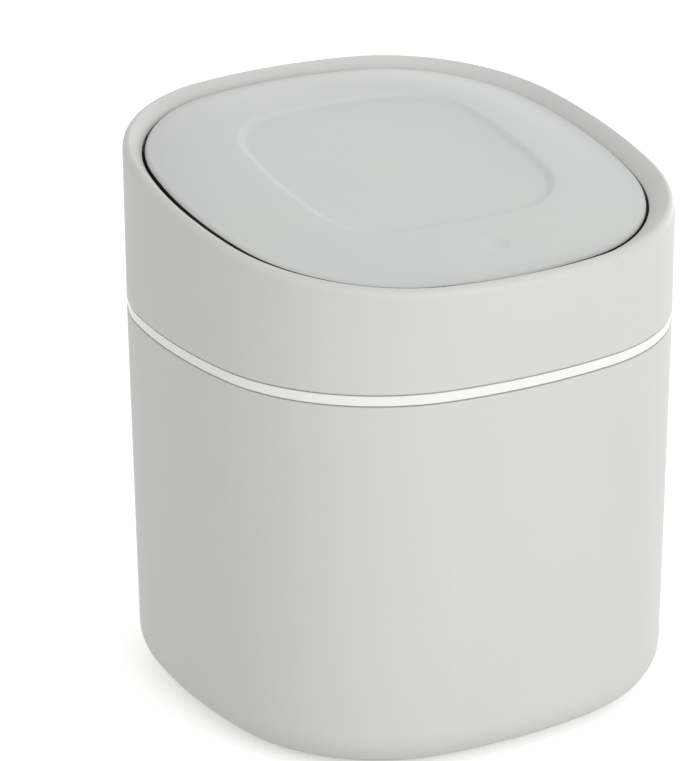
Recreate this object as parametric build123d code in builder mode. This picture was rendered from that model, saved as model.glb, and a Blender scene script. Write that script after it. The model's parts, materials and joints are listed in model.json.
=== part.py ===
"""Push top countertop bin: tub, bag ring, slanted head and sprung lid, in millimetres.

The origin is at the middle of the base, on the surface the bin stands on. +Z is up, the low front
edge with the press mark is towards -Y, and the hinge is at the high back edge, towards +Y.
"""
from build123d import *
from math import atan, atan2, cos, degrees, pi, radians, sin, sqrt, tan
import os

os.makedirs("parts", exist_ok=True)

# Plan of the bin: a rounded square of four long side arcs and four corner arcs.
half_width = 75.0
side_radius = 167.0
corner_radius = 56.0

# Tub
body_height = 114.4
wall = 2.4
floor_thickness = 3.0
body_draft = 0.65
base_fillet = 12.0
edge_break = 0.4
pad_radius = 7.0
pad_height = 2.2
pad_recess = 1.2
pad_setback = 33.0
pad_clearance = 0.2

# Bag ring: only its band shows, between two narrow shadow gaps.
shadow_gap = 0.4
band_height = 2.8
band_inset = 0.3
neck_inset = 1.3
skirt_depth = 16.0
skirt_clearance = 0.5
ring_wall = 1.6
ring_edge = 0.5
locating_rim = 8.0
rim_clearance = 0.4

# Strips that each rounded or swollen stretch of the head is built from
strips = 8

# Head: the rim and the lid lie in parallel planes that rise towards the back.
slope = 8.73
head_height = 40.7
lid_drop = 2.7
rim_round = 2.2
crest_inset = 1.9
funnel_depth = 4.0
funnel_swell = 1.2
funnel_over = 0.1
lip_edge = 0.8

# Lid
lid_setback = 6.8
lid_side_radius = 140.0
lid_corner_radius = 50.0
lid_shift = 1.8
lid_gap = 0.9
lid_depth = 6.5
lid_skin = 2.0
lid_wall = 2.0
lid_round = 1.8
crown = 3.9
crown_slope = 10.4
under_thickness = 1.6
under_clearance = 0.3
ring_width = 26.9
recess_side_radius = 151.0
recess_corner_radius = 22.6
recess_shift = 1.2
plateau_width = 0.4
recess_depth = 1.2
recess_wall_width = 3.4
mark_setback = 14.1
mark_diameter = 9.0
mark_depth = 0.6

# Inner frame of the head
frame_clearance = 0.3
shelf_drop = 10.9
shelf_thickness = 1.8
throat_side_margin = 17.0
throat_front_margin = 29.0
throat_back_margin = 27.0
throat_wall = 1.6
throat_corner = 30.0
throat_foot = 2.0
well_rise = 25.0
rib_reach = 9.0
rib_depth = 9.0
rib_thickness = 1.6
rib_spacing = 20.0

# Hinge: a pin each side, held in a boss of the collar and running in a knuckle inside the lid.
hinge_setback = 18.0
hinge_drop = 2.6
pin_radius = 1.0
pin_play = 0.05
pin_seat = 0.02
pin_length = 15.0
pin_chamfer = 0.2
pin_wall = 2.4
hinge_boss_depth = 5.2
hinge_boss_width = 5.2
knuckle_radius = 1.8
knuckle_room = 1.4

# Torsion springs, each round a post of the frame, between the lid and the shelf
spring_setback = 3.0
spring_wire = 0.35
spring_radius = 1.5
spring_turns = 6.5
spring_leg = 5.0
spring_gap = 0.35
post_setback = 2.0
post_length = 7.8
post_radius = 1.0
ear_thickness = 1.6
ear_radius = 1.7

# Screws
screw_radius = 0.8
screw_head_radius = 1.6
screw_head_height = 1.2
screw_head_fillet = 0.4
screw_pilot = 0.1
screw_hole_play = 0.3
collar_boss_inset = 4.2
collar_boss_radius = 1.7
collar_web_thickness = 1.2
collar_screw_y = 30.0
collar_screw_length = 7.0
lid_boss_radius = 3.0
lid_screw_x = 30.0
lid_screw_y = 34.0
lid_screw_length = 5.0

# Push latch, built square to the lid's plane below the press mark
latch_setback = 9.4
latch_play = 0.3
latch_case_x = 14.0
latch_case_y = 12.0
latch_case_height = 17.0
latch_case_wall = 2.4
latch_case_corner = 1.2
latch_flange_x = 27.0
latch_flange_y = 6.0
latch_flange_height = 2.0
latch_screw_x = 10.4
latch_screw_margin = 2.4
latch_screw_length = 4.0
latch_boss_height = 0.4
latch_boss_radius = 2.6
jaw_length = 6.6
jaw_thickness = 1.3
jaw_drop = 1.0
slider_height = 4.0
groove_width = 2.0
groove_depth = 1.0
follower_wire = 0.4
follower_bend = 0.6
follower_tip = 0.7
follower_slot = 1.4
follower_rise = 1.5
latch_spring_radius = 2.0
latch_spring_wire = 0.3
latch_spring_turns = 5
striker_base_x = 16.0
striker_base_y = 6.0
striker_base_corner = 2.0
striker_base_height = 1.2
striker_neck_x = 2.4
striker_y = 4.0
striker_head_x = 3.4
striker_head_height = 2.0
striker_length = 9.5
striker_screw_x = 5.5
striker_screw_length = 3.4
mouth_x = 10.6
mouth_y = 8.4

# Places that follow from the sizes above
rise = tan(radians(slope))
square = cos(radians(slope))
crown_rise = tan(radians(crown_slope))
band_bottom = body_height + shadow_gap
band_top = band_bottom + band_height
head_bottom = band_top + shadow_gap
rim_height = head_bottom + head_height
lid_height = rim_height - lid_drop
lip_under = rim_height - funnel_depth - lip_edge
lip_middle = lip_under + lip_edge / 2
clear_top = rim_height + half_width * rise + 10.0
foot_base = pad_height - pad_recess
pad_spacing = 2 * (half_width - pad_setback)

lid_half_width = half_width - lid_setback
recess_half_width = lid_half_width - ring_width
plan = (half_width, side_radius, corner_radius)
lid_plan = (lid_half_width, lid_side_radius, lid_corner_radius)
opening = tuple(size + lid_gap for size in lid_plan)
crest_outline = (*(size - crest_inset for size in plan), 0.0)
mouth_outline = (*opening, lid_shift)
recess_plan = (recess_half_width, recess_side_radius, recess_corner_radius)
recess_outline = (*recess_plan, recess_shift)
plateau_outline = (*(size + plateau_width for size in recess_plan), recess_shift)
recess_floor = (*(size - recess_wall_width for size in recess_plan), recess_shift)

lid_front = lid_shift - lid_half_width
mark_y = lid_front + mark_setback
latch_y = lid_front + latch_setback
hinge_y = lid_shift + lid_half_width - hinge_setback
hinge_z = lid_height + rise * hinge_y - hinge_drop

throat_half_x = half_width - throat_side_margin
throat_front = throat_front_margin - half_width
throat_back = half_width - throat_back_margin
throat_y = (throat_front + throat_back) / 2
throat_half_y = (throat_back - throat_front) / 2
bulkhead_y = throat_back + throat_wall
well_floor = head_bottom + well_rise
post_root_x = throat_half_x - post_setback
spring_y = throat_back - spring_setback


def corner_place(sizes):
    """Where the corner arcs' centres lie, in x and in y, and the half angle of a side arc."""
    half, side, corner = sizes
    side_centre = side - half
    reach = side - corner
    corner_centre = (sqrt(2 * reach**2 - side_centre**2) - side_centre) / 2
    return corner_centre, degrees(atan2(corner_centre, corner_centre + side_centre))


def rounded_square(sizes, inset=0.0, shift=0.0):
    """Face of a rounded square of eight tangent arcs, to add to the sketch that is open.

    Its offset keeps the centres of the arcs, so two insets lie exactly parallel.
    """
    half, side, corner = sizes
    corner_centre, half_angle = corner_place(sizes)
    with BuildSketch(mode=Mode.PRIVATE) as outline:
        with BuildLine():
            for turn in (0, 90, 180, 270):
                side_point = Vector(half - side, 0).rotate(Axis.Z, turn) + Vector(0, shift)
                CenterArc(side_point, side - inset, turn - half_angle, 2 * half_angle)
                corner_point = Vector(corner_centre, corner_centre).rotate(Axis.Z, turn)
                corner_point = corner_point + Vector(0, shift)
                CenterArc(corner_point, corner - inset, turn + half_angle, 90 - 2 * half_angle)
        make_face()
    return outline.sketch_local


def half_across(sizes, inset, y):
    """Distance from the middle to the rounded square's edge, moved in by inset, at this y."""
    half, side, corner = sizes
    corner_centre, half_angle = corner_place(sizes)
    if abs(y) < (side - inset) * sin(radians(half_angle)):
        return sqrt((side - inset) ** 2 - y**2) - (side - half)
    return corner_centre + sqrt((corner - inset) ** 2 - (abs(y) - corner_centre) ** 2)


def slanted(height, y=0.0, gradient=rise):
    """Plane that rises to the back, at this height over the middle of the bin, centred at y."""
    tilt = atan(gradient)
    return Plane(origin=(0, y, height + gradient * y), x_dir=(1, 0, 0), z_dir=(0, -sin(tilt), cos(tilt)))


def prism(sizes, inset, bottom, top, shift=0.0, gradient=rise):
    """Upright block on the rounded square, from a level bottom to the slanted plane at top."""
    with BuildPart(mode=Mode.PRIVATE) as block:
        with BuildSketch(Plane.XY.offset(bottom)):
            add(rounded_square(sizes, inset, shift))
        extrude(amount=clear_top - bottom)
        split(bisect_by=slanted(top, gradient=gradient), keep=Keep.BOTTOM)
    return block.part


def slab(sizes, inset, bottom, top, shift=0.0):
    """Upright-sided plate between two slanted planes."""
    with BuildPart(mode=Mode.PRIVATE) as block:
        add(prism(sizes, inset, body_height, top, shift))
        split(bisect_by=slanted(bottom), keep=Keep.TOP)
    return block.part


def under(plane, drop):
    """Plane moved down by a drop that is measured upright, still centred on the same square axis."""
    return plane.offset(-drop * square)


def face_on(part, plane):
    """Largest flat face of the part that lies on this plane."""
    def lies_on(face):
        offset = (face.center() - plane.origin).dot(plane.z_dir)
        return abs(offset) < 0.01 and abs(face.normal_at().dot(plane.z_dir)) > 0.999

    return part.faces().filter_by(GeomType.PLANE).filter_by(lies_on).sort_by(SortBy.AREA)[-1]


def section(outline, height, gradient=rise):
    """Face where an upright outline, given with its shift, is cut by a slanted plane."""
    *sizes, shift = outline
    block = prism(sizes, 0.0, body_height, height, shift, gradient)
    return face_on(block, slanted(height, gradient=gradient))


def between(start, end, share):
    """Outline that lies this share of the way from one outline to another."""
    return [a + (b - a) * share for a, b in zip(start, end)]


def crowned_block(inset, drop, crown_loss=0.0, edge_round=0.0):
    """Block in the lid's outline, moved in by inset, under its crowned top lowered by drop.

    The top climbs from the edge as a parabola that levels out at a narrow plateau. Its edge is
    rounded by a circle that touches the upright side and the start of the parabola.
    """
    edge = (*(size - inset for size in lid_plan), lid_shift)
    width = edge[0] - plateau_outline[0]
    height = crown - crown_loss
    pitch = atan(2 * height / width)
    side_drop = edge_round * (1 - sin(pitch)) / cos(pitch)
    profile = []
    if edge_round:
        for step in range(strips):
            turn = (pi / 2 - pitch) * step / strips
            profile.append((edge_round * (1 - cos(turn)) / width, edge_round * sin(turn) - side_drop))
    start = edge_round * (1 - sin(pitch)) / width
    for step in range(strips + 1):
        share = start + (1 - start) * step / strips
        profile.append((share, height * (1 - (1 - share) ** 2)))
    sections = []
    for share, climb in profile:
        gradient = rise + (crown_rise - rise) * (1 - (1 - share) ** 2)
        outline = between(edge, plateau_outline, share)
        sections.append(section(outline, lid_height - drop + climb, gradient))
    with BuildPart(mode=Mode.PRIVATE) as block:
        add(prism(lid_plan, inset, body_height, lid_height - drop - side_drop, lid_shift))
        loft(sections, ruled=True)
    return block.part


def screw(length):
    """Pan-head screw with its head's seat at the origin and its shank up +Z."""
    with BuildPart(mode=Mode.PRIVATE) as block:
        Cylinder(screw_radius, length, align=(Align.CENTER, Align.CENTER, Align.MIN))
        head_align = (Align.CENTER, Align.CENTER, Align.MAX)
        Cylinder(screw_head_radius, screw_head_height, align=head_align)
        fillet(block.edges().group_by(Axis.Z)[0], screw_head_fillet)
    return block.part


# ---- Tub ----

with BuildPart() as body_shell:
    with BuildSketch(Plane.XY.offset(body_height)):
        add(rounded_square(plan))
    extrude(amount=foot_base - body_height, taper=body_draft)
    fillet(body_shell.edges().group_by(Axis.Z)[0], base_fillet)
    fillet(body_shell.edges().group_by(Axis.Z)[-1], edge_break)

with BuildPart() as tub_hollow:
    with BuildSketch(Plane.XY.offset(body_height)):
        add(rounded_square(plan, wall))
    extrude(amount=foot_base + floor_thickness - body_height, taper=body_draft)
    fillet(tub_hollow.edges().group_by(Axis.Z)[0], base_fillet - wall)

with body_shell:
    add(tub_hollow.part, mode=Mode.SUBTRACT)
    with BuildSketch(Plane.XY.offset(foot_base)):
        with GridLocations(pad_spacing, pad_spacing, 2, 2):
            Circle(pad_radius + pad_clearance)
    extrude(amount=pad_recess, mode=Mode.SUBTRACT)

# ---- Foot pads ----

pad_places = GridLocations(pad_spacing, pad_spacing, 2, 2).locations
for number, place in enumerate(pad_places, start=1):
    with BuildPart() as foot_pad:
        with BuildSketch(Plane.XY):
            with Locations(place.position):
                Circle(pad_radius)
        extrude(amount=pad_height)
        fillet(foot_pad.edges().group_by(Axis.Z)[0], edge_break)
    foot_pad.part.label = f"foot_pad_{number}"
    export_step(foot_pad.part, f"parts/foot_pad_{number}.step")

# ---- Bag ring ----

ring_inset = wall + skirt_clearance
ring_bore = ring_inset + ring_wall

with BuildPart() as bag_ring:
    with BuildSketch(Plane.XY.offset(body_height - skirt_depth)):
        add(rounded_square(plan, ring_inset))
    extrude(amount=skirt_depth)
    with BuildSketch(Plane.XY.offset(body_height)):
        add(rounded_square(plan, neck_inset))
    extrude(amount=head_bottom - body_height)
    with BuildSketch(Plane.XY.offset(band_bottom)):
        add(rounded_square(plan, band_inset))
    extrude(amount=band_height)
    with BuildSketch(Plane.XY.offset(head_bottom)):
        add(rounded_square(plan, wall + rim_clearance))
    extrude(amount=locating_rim)
    with BuildSketch(Plane.XY.offset(body_height - skirt_depth)):
        add(rounded_square(plan, ring_bore))
    extrude(amount=skirt_depth + head_bottom - body_height + locating_rim, mode=Mode.SUBTRACT)
    fillet(bag_ring.edges().group_by(Axis.Z)[-1], ring_edge)
    fillet(bag_ring.edges().group_by(Axis.Z)[0], ring_edge)

# ---- Collar ----

collar_hollow = prism(plan, wall, head_bottom, lip_under)
collar_mouth = prism(opening, 0.0, head_bottom, clear_top, lid_shift)
shelf_height = lid_height - shelf_drop
shelf_under = shelf_height - shelf_thickness
collar_boss_x = half_across(plan, collar_boss_inset, collar_screw_y)
collar_boss_places = [
    (side * collar_boss_x, y) for y in (-collar_screw_y, collar_screw_y) for side in (-1, 1)
]

# The outside of the rim is rounded over, up to the slanted plane of its crest.
rim_sections = []
for step in range(strips + 1):
    turn = pi / 2 * step / strips
    rim_inset = rim_round * (1 - cos(turn))
    rim_outline = (*(size - rim_inset for size in plan), 0.0)
    rim_sections.append(section(rim_outline, rim_height - rim_round * (1 - sin(turn))))

# Its inside falls to the mouth, a little swollen. It is cut from over the crest to inside the mouth.
funnel_sections = []
for step in range(strips + 1):
    share = (1 + 2 * funnel_over) * step / strips - funnel_over
    funnel_drop = funnel_depth * share * abs(share) ** (funnel_swell - 1)
    funnel_sections.append(section(between(crest_outline, mouth_outline, share), rim_height - funnel_drop))

with BuildPart() as collar_funnel:
    loft(funnel_sections, ruled=True)

with BuildPart() as collar:
    add(prism(plan, 0.0, head_bottom, rim_height - rim_round))
    loft(rim_sections, ruled=True)
    add(collar_hollow, mode=Mode.SUBTRACT)
    add(collar_mouth, mode=Mode.SUBTRACT)
    add(collar_funnel.part, mode=Mode.SUBTRACT)
    fillet(collar.edges().group_by(Axis.Z)[0].sort_by(SortBy.LENGTH)[-8:], edge_break)

with BuildPart() as collar_bosses:
    with BuildSketch(Plane.XY.offset(head_bottom)):
        with Locations((0, -collar_screw_y), (0, collar_screw_y)):
            Rectangle(2 * half_across(plan, wall / 2, collar_screw_y), collar_web_thickness)
            Rectangle(2 * collar_boss_x, collar_web_thickness, mode=Mode.SUBTRACT)
        with Locations(*collar_boss_places):
            Circle(collar_boss_radius)
    extrude(amount=clear_top - head_bottom)
    split(bisect_by=slanted(shelf_height), keep=Keep.TOP)
    split(bisect_by=slanted(lip_middle), keep=Keep.BOTTOM)

with BuildPart() as collar_boss_holes:
    for x, y in collar_boss_places:
        with BuildSketch(slanted(shelf_under, y)):
            with Locations((x, 0)):
                Circle(screw_radius + screw_pilot)
        extrude(amount=collar_screw_length + screw_pilot)

hinge_axis = Plane(origin=(0, hinge_y, hinge_z), x_dir=(0, 1, 0), z_dir=(1, 0, 0))
pin_outer_end = half_across(plan, pin_wall, hinge_y)
knuckle_inner_x = pin_outer_end - pin_length - knuckle_room

with BuildPart() as hinge_bosses:
    add(slab(plan, wall / 2, lid_height - hinge_boss_depth, lip_middle))
    add(collar_mouth, mode=Mode.SUBTRACT)
    with BuildSketch(Plane.XY.offset(body_height)):
        with Locations((0, hinge_y)):
            Rectangle(2 * half_width, hinge_boss_width)
    extrude(amount=clear_top - body_height, mode=Mode.INTERSECT)

with collar:
    add(collar_bosses.part)
    add(hinge_bosses.part)
    add(collar_boss_holes.part, mode=Mode.SUBTRACT)
    with BuildSketch(hinge_axis):
        Circle(pin_radius + pin_seat)
    extrude(amount=pin_outer_end, both=True, mode=Mode.SUBTRACT)

# ---- Lid ----

lid_base = lid_height - lid_depth
striker_seat = slanted(lid_base, latch_y)
lid_screw_seats = [slanted(lid_base, y) for y in (-lid_screw_y, lid_screw_y)]

with BuildPart() as lid_bosses:
    for side in (-1, 1):
        with BuildSketch(hinge_axis.offset(side * knuckle_inner_x)):
            Circle(knuckle_radius)
            with Locations((0, lid_depth / 2)):
                Rectangle(2 * knuckle_radius, lid_depth)
        extrude(amount=side * (lid_half_width - knuckle_inner_x))
    for seat in lid_screw_seats:
        with BuildSketch(under(seat, -under_thickness)):
            with Locations((-lid_screw_x, 0), (lid_screw_x, 0)):
                Circle(lid_boss_radius)
        extrude(amount=lid_depth + crown)
    add(crowned_block(lid_wall / 2, lid_skin / 2, recess_depth), mode=Mode.INTERSECT)

# The recess falls from the plateau to its floor along half a cosine wave.
recess_sections = []
for step in range(strips + 1):
    share = step / strips
    recess_drop = recess_depth * (1 - cos(pi * share)) / 2
    recess_line = between(recess_outline, recess_floor, share)
    recess_sections.append(section(recess_line, lid_height + crown - recess_drop, crown_rise))

with BuildPart() as lid_recess:
    loft(recess_sections, ruled=True)

with BuildPart() as lid_top:
    add(crowned_block(0.0, 0.0, edge_round=lid_round))
    split(bisect_by=slanted(lid_base), keep=Keep.TOP)
    add(crowned_block(lid_wall, lid_skin, recess_depth), mode=Mode.SUBTRACT)
    add(lid_recess.part, mode=Mode.SUBTRACT)
    mark_sphere = (mark_diameter**2 / 4 + mark_depth**2) / (2 * mark_depth)
    above_mark = Axis((0, mark_y, clear_top), (0, 0, -1))
    mark_place, mark_normal = lid_top.part.find_intersection_points(above_mark)[0]
    with Locations(mark_place + mark_normal * (mark_sphere - mark_depth)):
        Sphere(mark_sphere, mode=Mode.SUBTRACT)
    add(lid_bosses.part)
    for side in (-1, 1):
        with BuildSketch(hinge_axis.offset(side * knuckle_inner_x)):
            Circle(pin_radius + pin_play)
        extrude(amount=side * (lid_half_width - knuckle_inner_x), mode=Mode.SUBTRACT)
    for seat in lid_screw_seats:
        with BuildSketch(seat):
            with Locations((-lid_screw_x, 0), (lid_screw_x, 0)):
                Circle(screw_radius + screw_pilot)
        extrude(amount=lid_screw_length + screw_pilot, mode=Mode.SUBTRACT)

with BuildPart() as lid_under:
    under_inset = lid_wall + under_clearance
    add(slab(lid_plan, under_inset, lid_base, lid_base + under_thickness, lid_shift))
    for seat in lid_screw_seats:
        with BuildSketch(seat):
            with Locations((-lid_screw_x, 0), (lid_screw_x, 0)):
                Circle(screw_radius + screw_hole_play)
        extrude(amount=under_thickness, mode=Mode.SUBTRACT)
    with BuildSketch(striker_seat):
        with Locations((-striker_screw_x, 0), (striker_screw_x, 0)):
            Circle(screw_radius + screw_pilot)
    extrude(amount=under_thickness, mode=Mode.SUBTRACT)

with BuildPart() as lid_screws:
    for seat in lid_screw_seats:
        with Locations(seat):
            with Locations((-lid_screw_x, 0), (lid_screw_x, 0)):
                add(screw(lid_screw_length))

# ---- Hinge pins and torsion springs ----

hinge_pins = {}
for side, name in ((-1, "left"), (1, "right")):
    with BuildPart() as hinge_pin:
        with BuildSketch(hinge_axis.offset(side * pin_outer_end)):
            Circle(pin_radius)
        extrude(amount=-side * pin_length)
        chamfer(hinge_pin.edges().filter_by(GeomType.CIRCLE), pin_chamfer)
    hinge_pins[name] = hinge_pin.part

spring_drop = lid_depth + (spring_gap + spring_wire + spring_radius) / square
spring_z = lid_height + rise * spring_y - spring_drop
spring_start = post_root_x - post_length + 2 * spring_wire
coil_length = post_root_x - 2 * spring_wire - spring_start
coil_plane = Plane(
    origin=(-spring_start, spring_y, spring_z),
    x_dir=slanted(lid_height).z_dir,
    z_dir=(-1, 0, 0),
)

with BuildPart() as spring_form:
    with BuildLine() as spring_path:
        coil = Helix(pitch=coil_length / spring_turns, height=coil_length, radius=spring_radius)
        Line(coil @ 0 - coil % 0 * spring_leg, coil @ 0)
        Line(coil @ 1, coil @ 1 + coil % 1 * spring_leg)
    spring_wire_path = spring_path.wire()
    with BuildSketch(Plane(origin=spring_wire_path @ 0, z_dir=spring_wire_path % 0)):
        Circle(spring_wire)
    sweep(path=spring_wire_path, is_frenet=True)

with BuildPart() as torsion_spring_left:
    with Locations(coil_plane):
        add(spring_form.part)

with BuildPart() as torsion_spring_right:
    mirror(torsion_spring_left.part, about=Plane.YZ)

# ---- Inner frame of the head ----

frame_inset = wall + frame_clearance
latch_seat = under(striker_seat, lid_base - shelf_under)

with BuildPart() as frame_well:
    add(prism(plan, frame_inset, well_floor - shelf_thickness, shelf_height))
    split(bisect_by=Plane.XZ.offset(-throat_back), keep=Keep.BOTTOM)

with BuildPart() as well_hollow:
    add(prism(plan, 0.0, well_floor, clear_top))
    split(bisect_by=Plane.XZ.offset(-bulkhead_y), keep=Keep.BOTTOM)

with BuildPart() as throat_tube:
    with BuildSketch(Plane.XY.offset(head_bottom + throat_foot)):
        with Locations((0, throat_y)):
            outer_x = 2 * (throat_half_x + throat_wall)
            outer_y = 2 * (throat_half_y + throat_wall)
            RectangleRounded(outer_x, outer_y, throat_corner + throat_wall)
    extrude(amount=clear_top - head_bottom)
    split(bisect_by=slanted(shelf_height), keep=Keep.BOTTOM)

with BuildPart() as spring_posts:
    post_axis = Plane(origin=(0, spring_y, spring_z), x_dir=(0, 1, 0), z_dir=(1, 0, 0))
    ear_height = shelf_drop - spring_drop + shelf_thickness / 2
    for side in (-1, 1):
        with BuildSketch(post_axis.offset(side * post_root_x)):
            Circle(ear_radius)
            with Locations((0, -ear_height / 2)):
                Rectangle(2 * ear_radius, ear_height)
        extrude(amount=side * ear_thickness)
        with BuildSketch(post_axis.offset(side * post_root_x)):
            Circle(post_radius)
        extrude(amount=-side * post_length)

with BuildPart() as frame_ribs:
    for y in (-rib_spacing, 0, rib_spacing):
        rib_top = shelf_under + rise * y
        rib_root = throat_half_x + throat_wall
        for side in (-1, 1):
            with BuildSketch(Plane.XZ.offset(-y - rib_thickness / 2)):
                with BuildLine():
                    Polyline(
                        (side * rib_root, rib_top + rise * rib_thickness),
                        (side * (rib_root + rib_reach), rib_top + rise * rib_thickness),
                        (side * (rib_root + rib_reach), rib_top - rib_thickness),
                        (side * rib_root, rib_top - rib_depth),
                        (side * rib_root, rib_top + rise * rib_thickness),
                    )
                make_face()
            extrude(amount=rib_thickness)

with BuildPart() as head_frame:
    add(slab(plan, frame_inset, shelf_under, shelf_height))
    split(bisect_by=Plane.XZ.offset(-bulkhead_y), keep=Keep.TOP)
    add(frame_well.part)
    add(throat_tube.part)
    add(frame_ribs.part)
    with BuildSketch(latch_seat):
        with Locations((-latch_screw_x, 0), (latch_screw_x, 0)):
            Circle(latch_boss_radius)
    extrude(amount=shelf_thickness * square + latch_boss_height)
    add(well_hollow.part, mode=Mode.SUBTRACT)
    add(spring_posts.part)
    with BuildSketch(Plane.XY.offset(head_bottom)):
        with Locations((0, throat_y)):
            RectangleRounded(2 * throat_half_x, 2 * throat_half_y, throat_corner)
    extrude(amount=clear_top - head_bottom, mode=Mode.SUBTRACT)
    with BuildSketch(latch_seat):
        Rectangle(mouth_x, mouth_y)
        with Locations((-latch_screw_x, 0), (latch_screw_x, 0)):
            Circle(screw_radius + screw_pilot)
    extrude(amount=shelf_thickness + latch_boss_height, mode=Mode.SUBTRACT)
    for x, y in collar_boss_places:
        with BuildSketch(slanted(shelf_under, y)):
            with Locations((x, 0)):
                Circle(screw_radius + screw_hole_play)
        extrude(amount=shelf_thickness, mode=Mode.SUBTRACT)

with BuildPart() as frame_screws:
    for x, y in collar_boss_places:
        with Locations(slanted(shelf_under, y)):
            with Locations((x, 0)):
                add(screw(collar_screw_length))

# ---- Push latch ----

case_bottom = -latch_case_height
cavity_x = latch_case_x - 2 * latch_case_wall
cavity_y = latch_case_y - 2 * latch_case_wall
slider_x = cavity_x - 2 * latch_play
slider_y = cavity_y - 2 * latch_play
slider_top = -jaw_drop - jaw_length
slider_bottom = slider_top - slider_height

follower_low = case_bottom + latch_case_wall + follower_rise
follower_high = slider_top - slider_height / 2
follower_y = -cavity_y / 2 - latch_play - follower_wire
follower_root = Plane(latch_seat.offset(follower_low).origin, x_dir=(1, 0, 0), z_dir=-latch_seat.y_dir)

with BuildPart() as latch_case:
    with BuildSketch(latch_seat):
        RectangleRounded(latch_case_x, latch_case_y, latch_case_corner)
    extrude(amount=case_bottom)
    with BuildSketch(latch_seat):
        RectangleRounded(latch_flange_x, latch_flange_y, latch_screw_margin)
    extrude(amount=-latch_flange_height)
    with BuildSketch(latch_seat):
        Rectangle(cavity_x, cavity_y)
    extrude(amount=case_bottom + latch_case_wall, mode=Mode.SUBTRACT)
    with BuildSketch(latch_seat):
        with Locations((-latch_screw_x, 0), (latch_screw_x, 0)):
            Circle(screw_radius + screw_hole_play)
    extrude(amount=-latch_flange_height, mode=Mode.SUBTRACT)
    slot_depth = latch_play + 2 * follower_wire + latch_play
    with BuildSketch(latch_seat.offset(follower_low - follower_slot / 2)):
        with Locations((0, -cavity_y / 2)):
            Rectangle(follower_slot, 2 * slot_depth)
    extrude(amount=follower_high - follower_low + follower_slot, mode=Mode.SUBTRACT)
    with BuildSketch(follower_root):
        Circle(follower_wire + pin_seat)
    extrude(amount=latch_case_y / 2, mode=Mode.SUBTRACT)

with BuildPart() as latch_slider:
    with BuildSketch(latch_seat.offset(slider_top)):
        Rectangle(slider_x, slider_y)
    extrude(amount=-slider_height)
    with BuildSketch(latch_seat.offset(slider_top)):
        jaw_x = (slider_x - jaw_thickness) / 2
        with Locations((-jaw_x, 0), (jaw_x, 0)):
            Rectangle(jaw_thickness, slider_y)
    extrude(amount=jaw_length)
    with BuildSketch(latch_seat.offset(slider_bottom)):
        with Locations((0, -slider_y / 2)):
            Rectangle(groove_width, groove_depth * 2)
    extrude(amount=slider_height, mode=Mode.SUBTRACT)

with BuildPart() as latch_follower:
    latch_side = Plane(latch_seat.origin, x_dir=latch_seat.y_dir, z_dir=(1, 0, 0))
    with BuildLine(latch_side) as wire_path:
        FilletPolyline(
            (-latch_case_y / 2, follower_low),
            (follower_y, follower_low),
            (follower_y, follower_high),
            (-slider_y / 2 + follower_tip, follower_high),
            radius=follower_bend,
        )
    with BuildSketch(Plane(origin=wire_path.line @ 0, z_dir=wire_path.line % 0)):
        Circle(follower_wire)
    sweep(path=wire_path.line)

with BuildPart() as latch_spring:
    spring_bottom = case_bottom + latch_case_wall + latch_spring_wire
    spring_height = slider_bottom - latch_spring_wire - spring_bottom
    with BuildLine() as latch_coil:
        Helix(
            pitch=spring_height / latch_spring_turns,
            height=spring_height,
            radius=latch_spring_radius,
            center=latch_seat.offset(spring_bottom).origin,
            direction=latch_seat.z_dir,
        )
    with BuildSketch(Plane(origin=latch_coil.line @ 0, z_dir=latch_coil.line % 0)):
        Circle(latch_spring_wire)
    sweep(path=latch_coil.line, is_frenet=True)

with BuildPart() as latch_screws:
    with Locations(latch_seat.offset(-latch_flange_height)):
        with Locations((-latch_screw_x, 0), (latch_screw_x, 0)):
            add(screw(latch_screw_length))

with BuildPart() as lid_striker:
    with BuildSketch(striker_seat):
        RectangleRounded(striker_base_x, striker_base_y, striker_base_corner)
    extrude(amount=-striker_base_height)
    with BuildSketch(striker_seat):
        Rectangle(striker_neck_x, striker_y)
    extrude(amount=-striker_length)
    with BuildSketch(striker_seat.offset(striker_head_height - striker_length)):
        Rectangle(striker_head_x, striker_y)
    extrude(amount=-striker_head_height)
    with BuildSketch(striker_seat):
        with Locations((-striker_screw_x, 0), (striker_screw_x, 0)):
            Circle(screw_radius + screw_hole_play)
    extrude(amount=-striker_base_height, mode=Mode.SUBTRACT)

with BuildPart() as striker_screws:
    with Locations(striker_seat.offset(-striker_base_height)):
        with Locations((-striker_screw_x, 0), (striker_screw_x, 0)):
            add(screw(striker_screw_length))

# ---- Finished pieces ----

pieces = {
    "body_shell": body_shell.part,
    "bag_ring": bag_ring.part,
    "collar": collar.part,
    "head_frame": head_frame.part,
    "frame_screws": frame_screws.part,
    "lid_top": lid_top.part,
    "lid_under": lid_under.part,
    "lid_screws": lid_screws.part,
    "lid_striker": lid_striker.part,
    "striker_screws": striker_screws.part,
    "hinge_pin_left": hinge_pins["left"],
    "hinge_pin_right": hinge_pins["right"],
    "torsion_spring_left": torsion_spring_left.part,
    "torsion_spring_right": torsion_spring_right.part,
    "latch_case": latch_case.part,
    "latch_slider": latch_slider.part,
    "latch_spring": latch_spring.part,
    "latch_follower": latch_follower.part,
    "latch_screws": latch_screws.part,
}
for name, piece in pieces.items():
    piece.label = name
    export_step(piece, f"parts/{name}.step")
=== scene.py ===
"""Finish and light for the push top countertop bin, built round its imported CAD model, in metres."""

import json
import math

import bpy
from mathutils import Matrix, Vector


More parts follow.
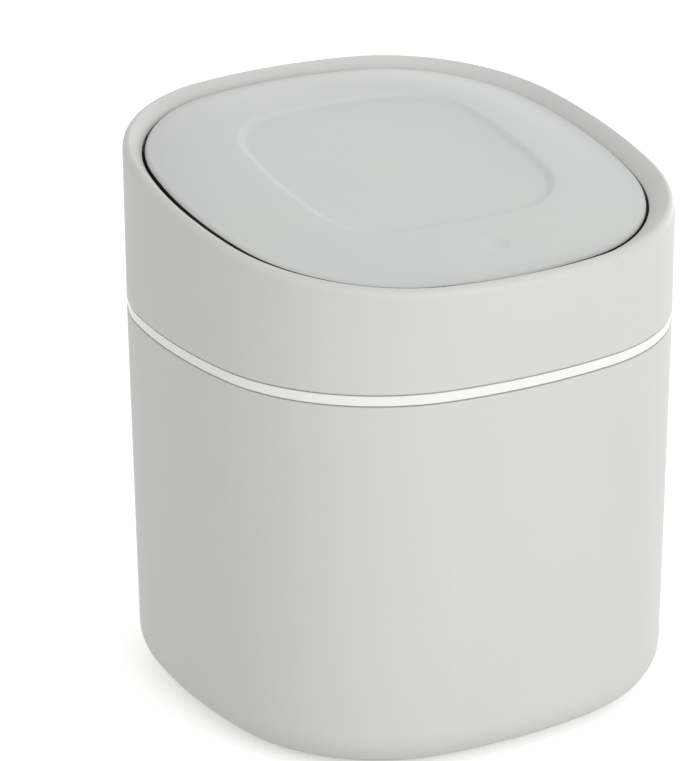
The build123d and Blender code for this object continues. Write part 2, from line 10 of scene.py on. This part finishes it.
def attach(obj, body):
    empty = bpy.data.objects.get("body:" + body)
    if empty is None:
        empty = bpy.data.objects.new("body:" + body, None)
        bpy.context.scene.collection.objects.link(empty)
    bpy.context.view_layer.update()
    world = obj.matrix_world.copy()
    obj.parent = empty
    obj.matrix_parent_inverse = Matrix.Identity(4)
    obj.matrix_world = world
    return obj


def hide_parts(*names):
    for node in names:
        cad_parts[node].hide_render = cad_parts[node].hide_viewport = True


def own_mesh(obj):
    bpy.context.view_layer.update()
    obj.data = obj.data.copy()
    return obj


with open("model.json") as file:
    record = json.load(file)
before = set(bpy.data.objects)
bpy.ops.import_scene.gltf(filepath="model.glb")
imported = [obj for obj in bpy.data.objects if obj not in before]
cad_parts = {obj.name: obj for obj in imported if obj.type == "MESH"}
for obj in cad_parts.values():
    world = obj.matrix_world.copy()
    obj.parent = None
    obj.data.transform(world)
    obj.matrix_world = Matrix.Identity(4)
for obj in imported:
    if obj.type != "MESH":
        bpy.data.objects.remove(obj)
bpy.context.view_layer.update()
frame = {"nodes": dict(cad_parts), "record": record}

MM = 0.001
HEAD_SLOPE = math.radians(8.73)  # slant of the head, its lid and its latch, low in front

# ---- Camera: a long lens, from the front left and a little above ----

AZIMUTH = math.radians(-31.41)
ELEVATION = math.radians(22.40)
AIM = Vector((0.0, 0.0, 0.06876))
DISTANCE = 1.0781
FOCAL_PX = 3600.0
PICTURE = (680.0, 761.0)
AIM_PX = (397.77, 450.67)

back = Vector((
    math.sin(AZIMUTH) * math.cos(ELEVATION),
    -math.cos(AZIMUTH) * math.cos(ELEVATION),
    math.sin(ELEVATION),
))
side = Vector((0, 0, 1)).cross(back).normalized()
level = Matrix((side, back.cross(side), back)).transposed()
aim_ray = Vector((
    (AIM_PX[0] - PICTURE[0] / 2) / FOCAL_PX,
    (PICTURE[1] / 2 - AIM_PX[1]) / FOCAL_PX,
    -1.0,
)).normalized()
turn = Vector((0, 0, -1)).rotation_difference(aim_ray).to_matrix()
camera_data = bpy.data.cameras.new("camera")
camera_data.sensor_fit = "VERTICAL"
camera_data.sensor_height = 36.0
camera_data.lens = FOCAL_PX / PICTURE[1] * camera_data.sensor_height
camera_data.clip_end = 20.0
camera = bpy.data.objects.new("camera", camera_data)
camera.matrix_world = Matrix.Translation(AIM + back * DISTANCE) @ (level @ turn.transposed()).to_4x4()
bpy.context.scene.collection.objects.link(camera)
bpy.context.scene.camera = camera


# ---- Materials ----

def linear(code):
    """Linear RGBA of an sRGB hex colour."""
    parts = [int(code[i:i + 2], 16) / 255 for i in (1, 3, 5)]
    return [p / 12.92 if p <= 0.04045 else ((p + 0.055) / 1.055) ** 2.4 for p in parts] + [1.0]


def add(tree, kind, settings=None, **links):
    """Adds a node, sets its properties or socket values, and links sockets to the named inputs."""
    made = tree.nodes.new(kind)
    for key, value in (settings or {}).items():
        if hasattr(made, key):
            setattr(made, key, value)
        else:
            made.inputs[key].default_value = value
    for key, source in links.items():
        tree.links.new(source, made.inputs[key.replace("_", " ")])
    return made


def new_material(name):
    """An empty node material with an output, and its tree."""
    material = bpy.data.materials.new(name)
    material.use_nodes = True
    material.node_tree.nodes.clear()
    return material, material.node_tree


PLASTIC_IOR = 1.49
ROUGHNESS_SPREAD = 0.04
GRAIN_HEIGHT = 0.02 * MM
METAL_SPREAD = 0.08


def moulded_surface(tree, colour, tint, roughness, grain_mm, grain_depth, drift_mm=45.0):
    """Shader of injection-moulded plastic: a faint drift of tone, and a fine grain from the tool."""
    place = add(tree, "ShaderNodeTexCoord").outputs["Object"]
    drift = add(tree, "ShaderNodeTexNoise", {"Scale": 1 / (drift_mm * MM), "Detail": 2.0}, Vector=place)
    tone = add(tree, "ShaderNodeValToRGB", Fac=drift.outputs["Fac"])
    tone.color_ramp.elements[0].position = 0.3
    tone.color_ramp.elements[1].position = 0.7
    tone.color_ramp.elements[0].color = linear(colour)
    tone.color_ramp.elements[1].color = linear(tint)
    grain = add(tree, "ShaderNodeTexNoise", {"Scale": 1 / (grain_mm * MM), "Detail": 3.0}, Vector=place)
    rough = add(tree, "ShaderNodeMapRange",
                {"To Min": roughness - ROUGHNESS_SPREAD, "To Max": roughness + ROUGHNESS_SPREAD},
                Value=grain.outputs["Fac"])
    bump = add(tree, "ShaderNodeBump", {"Strength": grain_depth, "Distance": GRAIN_HEIGHT},
               Height=grain.outputs["Fac"])
    shader = add(tree, "ShaderNodeBsdfPrincipled", {"IOR": PLASTIC_IOR},
                 Base_Color=tone.outputs["Color"], Roughness=rough.outputs["Result"],
                 Normal=bump.outputs["Normal"])
    return shader.outputs["BSDF"]


def moulded_plastic(name, *finish):
    """A material of one moulded plastic."""
    material, tree = new_material(name)
    add(tree, "ShaderNodeOutputMaterial", Surface=moulded_surface(tree, *finish))
    return material


# ABS, injection moulded in a spark-eroded tool: light warm grey, matt, with a soft broad highlight.
matte_abs = moulded_plastic("abs_spark_eroded_grey", "#D3D3D1", "#D5D5D2", 0.52, 0.5, 0.25)

# The lid is the same plastic above, a little cooler and finer. Round its skirt it is painted near
# black: painted shade, standing in for the shade deep in the gap round the lid, not a seal. The
# painted shade starts at a plane below the lid's edge plane, tilted a little against it.
LID_PLANE = 156.0 * MM
LID_RISE = math.tan(HEAD_SLOPE)
GAP_SHADE_DROP = 1.38 * MM
GAP_SHADE_TILT = (0.0099, 0.0053)

lid_abs_painted_gap_shade, tree = new_material("abs_matt_grey_painted_gap_shade")
place = add(tree, "ShaderNodeTexCoord").outputs["Object"]
# Mask of the painted shade: height across a plane tilted a little against the lid's; below it the skirt is
# painted dark.
height = add(tree, "ShaderNodeVectorMath", {"operation": "DOT_PRODUCT"})
tree.links.new(place, height.inputs[0])
height.inputs[1].default_value = (GAP_SHADE_TILT[0], GAP_SHADE_TILT[1] - LID_RISE, 1.0)
below = add(tree, "ShaderNodeMath", {"operation": "LESS_THAN"})
tree.links.new(height.outputs["Value"], below.inputs[0])
below.inputs[1].default_value = LID_PLANE - GAP_SHADE_DROP
lid_or_painted_shade = add(tree, "ShaderNodeMixShader")
tree.links.new(below.outputs[0], lid_or_painted_shade.inputs[0])
tree.links.new(moulded_surface(tree, "#D1D3D2", "#D3D5D3", 0.48, 0.4, 0.2), lid_or_painted_shade.inputs[1])
# Painted shade: a near-black surface standing in for the shade in the gap round the lid.
tree.links.new(moulded_surface(tree, "#0B0B0C", "#101011", 0.7, 0.5, 0.3), lid_or_painted_shade.inputs[2])
add(tree, "ShaderNodeOutputMaterial", Surface=lid_or_painted_shade.outputs[0])

# ABS moulded in a polished tool: white and glossy, so that the band shines between the grey parts.
gloss_abs = moulded_plastic("abs_polished_white", "#F2F2F1", "#F4F4F3", 0.16, 1.5, 0.05)
# Polypropylene, satin white, for the parts inside.
satin_pp = moulded_plastic("pp_satin_white", "#E6E6E3", "#E9E9E6", 0.38, 0.8, 0.15)
# Thermoplastic elastomer pads: pale, soft and dull.
pad_tpe = moulded_plastic("tpe_pale_pad", "#C9C9C6", "#D0D0CC", 0.75, 0.6, 0.6, 6.0)


def wire_metal(name, colour, tint, roughness, mottle_mm):
    """Steel with a thin finish: a fine mottle of tone and roughness."""
    material, tree = new_material(name)
    place = add(tree, "ShaderNodeTexCoord").outputs["Object"]
    mottle = add(tree, "ShaderNodeTexNoise", {"Scale": 1 / (mottle_mm * MM), "Detail": 4.0}, Vector=place)
    tone = add(tree, "ShaderNodeValToRGB", Fac=mottle.outputs["Fac"])
    tone.color_ramp.elements[0].color = linear(colour)
    tone.color_ramp.elements[1].color = linear(tint)
    rough = add(tree, "ShaderNodeMapRange",
                {"To Min": roughness - METAL_SPREAD, "To Max": roughness + METAL_SPREAD},
                Value=mottle.outputs["Fac"])
    shader = add(tree, "ShaderNodeBsdfPrincipled", {"Metallic": 1.0},
                 Base_Color=tone.outputs["Color"], Roughness=rough.outputs["Result"])
    add(tree, "ShaderNodeOutputMaterial", Surface=shader.outputs["BSDF"])
    return material


# Screws of mild steel, zinc plated: pale and slightly mottled.
zinc_steel = wire_metal("steel_zinc_plated", "#B9BABB", "#CFD0D0", 0.34, 0.6)
# Drawn music wire for the springs: a little darker and smoother.
spring_steel = wire_metal("steel_drawn_wire", "#9C9DA0", "#B4B5B7", 0.28, 0.3)
# Ground steel pins, black oxide finished; their near-black is also painted shade, so that they read as the
# shade in the gap and don't glint there.
pin_steel_as_gap_shade = wire_metal("steel_black_oxide_as_gap_shade", "#1B1B1C", "#262627", 0.42, 0.5)

finishes = {
    "warm_grey_plastic": matte_abs,
    "white_gloss_plastic": gloss_abs,
    "white_plastic": satin_pp,
    "soft_pad": pad_tpe,
    "plated_steel": zinc_steel,
    "spring_steel": spring_steel,
}
for part in frame["record"]["subparts"]:
    node = frame["nodes"][part["node"]]
    finish = finishes[part["material_slot"]]
    # The lid takes the material with painted shade round its skirt.
    if part["node"] == "lid_top":
        finish = lid_abs_painted_gap_shade
    # Hinge pins: near-black, partly painted shade for the gap they cross.
    if part["node"].startswith("hinge_pin"):
        finish = pin_steel_as_gap_shade
    node.data.materials.clear()
    node.data.materials.append(finish)

# The spring below the latch's plunger, which shortens as the plunger is pressed down into its case, is copied
# into a mesh of its own and hung on the head; the imported spring is hidden.
spring = frame["nodes"]["latch_spring"]
coil = bpy.data.objects.new("latch_spring_coil", spring.data.copy())
bpy.context.scene.collection.objects.link(coil)
coil.matrix_world = spring.matrix_world
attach(coil, "head")
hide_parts("latch_spring")
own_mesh(coil)


# ---- Stage and light ----

FLOOR_REACH = 4.0
floor_mesh = bpy.data.meshes.new("floor")
corners = [(x * FLOOR_REACH, y * FLOOR_REACH, 0) for x, y in ((-1, -1), (1, -1), (1, 1), (-1, 1))]
floor_mesh.from_pydata(corners, [], [(0, 1, 2, 3)])
floor = bpy.data.objects.new("floor", floor_mesh)
bpy.context.scene.collection.objects.link(floor)

# Matt white studio board. It shows white to the camera, and still takes the shadow.
BOARD_GLOW = 0.45
board, tree = new_material("studio_board_white")
path = add(tree, "ShaderNodeLightPath")
seen = add(tree, "ShaderNodeMath", {"operation": "MAXIMUM"})
tree.links.new(path.outputs["Is Camera Ray"], seen.inputs[0])
tree.links.new(path.outputs["Is Glossy Ray"], seen.inputs[1])
paper = add(tree, "ShaderNodeBsdfDiffuse", {"Color": linear("#EDEDEC")})
glow = add(tree, "ShaderNodeEmission", {"Color": linear("#FFFFFF")})
lift = add(tree, "ShaderNodeMath", {"operation": "MULTIPLY"})
tree.links.new(seen.outputs[0], lift.inputs[0])
lift.inputs[1].default_value = BOARD_GLOW
tree.links.new(lift.outputs[0], glow.inputs["Strength"])
both = add(tree, "ShaderNodeAddShader")
tree.links.new(paper.outputs[0], both.inputs[0])
tree.links.new(glow.outputs[0], both.inputs[1])
add(tree, "ShaderNodeOutputMaterial", Surface=both.outputs[0])
floor_mesh.materials.append(board)

# White all round: full white where it is seen, straight or mirrored, and softer as a light.
STUDIO_LIGHT = 0.70
world = bpy.data.worlds.new("studio")
bpy.context.scene.world = world
world.use_nodes = True
tree = world.node_tree
tree.nodes.clear()
path = add(tree, "ShaderNodeLightPath")
seen = add(tree, "ShaderNodeMath", {"operation": "MAXIMUM"})
tree.links.new(path.outputs["Is Camera Ray"], seen.inputs[0])
tree.links.new(path.outputs["Is Transmission Ray"], seen.inputs[1])
mirrored = add(tree, "ShaderNodeMath", {"operation": "MAXIMUM"})
tree.links.new(seen.outputs[0], mirrored.inputs[0])
tree.links.new(path.outputs["Is Glossy Ray"], mirrored.inputs[1])
strength = add(tree, "ShaderNodeMapRange", {"To Min": STUDIO_LIGHT, "To Max": 1.0}, Value=mirrored.outputs[0])
sky = add(tree, "ShaderNodeBackground", {"Color": linear("#FFFFFF")}, Strength=strength.outputs["Result"])
add(tree, "ShaderNodeOutputWorld", Surface=sky.outputs[0])


def soft_light(name, place, aim, size, power):
    """A square soft box at a place, turned towards a point."""
    data = bpy.data.lights.new(name, "AREA")
    data.shape = "SQUARE"
    data.size = size
    data.energy = power
    box = bpy.data.objects.new(name, data)
    towards = (Vector(aim) - Vector(place)).to_track_quat("-Z", "Y")
    box.matrix_world = Matrix.Translation(place) @ towards.to_matrix().to_4x4()
    bpy.context.scene.collection.objects.link(box)


right = side
front = Vector((back.x, back.y, 0)).normalized()
middle = Vector((0, 0, 0.08))
# Each soft box: how far to the right, to the front and up from the middle, its size and its power.
for name, across, ahead, up, size, power in (
    ("key", 0.78, 1.1, 0.48, 0.9, 6.9),
    ("edge", 0.8, -1.15, 0.1, 0.6, 5.5),
    ("back", 0.0, -1.3, 0.48, 0.8, 1.2),
):
    place = middle + right * across + front * ahead + Vector((0, 0, up))
    soft_light(name, place, middle, size, power)

bpy.context.scene.view_settings.view_transform = "Standard"
